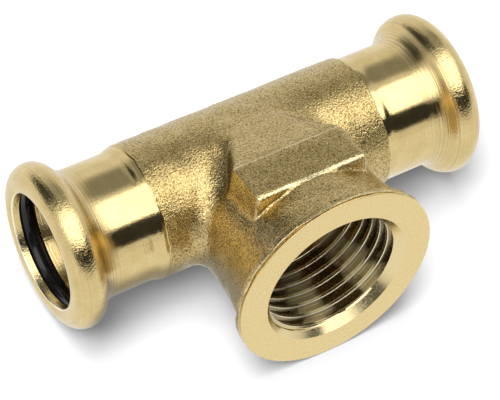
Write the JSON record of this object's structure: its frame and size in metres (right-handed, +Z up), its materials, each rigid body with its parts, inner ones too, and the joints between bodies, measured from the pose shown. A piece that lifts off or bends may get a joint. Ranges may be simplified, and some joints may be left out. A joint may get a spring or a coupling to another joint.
{
  "type": "press fit tee",
  "caption": "Cast brass tee with press sockets for copper tube in line, a sealing ring in the bead of each socket, and a female threaded branch with wrench flats at right angles",
  "frame": {"origin": "the middle of the machined face of the threaded branch", "axes": "X along the run, from the left socket to the right one; -Y out of the branch; Z up, square to the wrench flats"},
  "size_m": [0.062, 0.034, 0.0286],
  "materials": {
    "brass": "sand cast middle, turned and polished sockets, faced branch",
    "rubber": "smooth moulded"
  },
  "bodies": {
    "root": {"tee_body": "brass", "left_ring": "rubber", "right_ring": "rubber"}
  },
  "joints": []
}
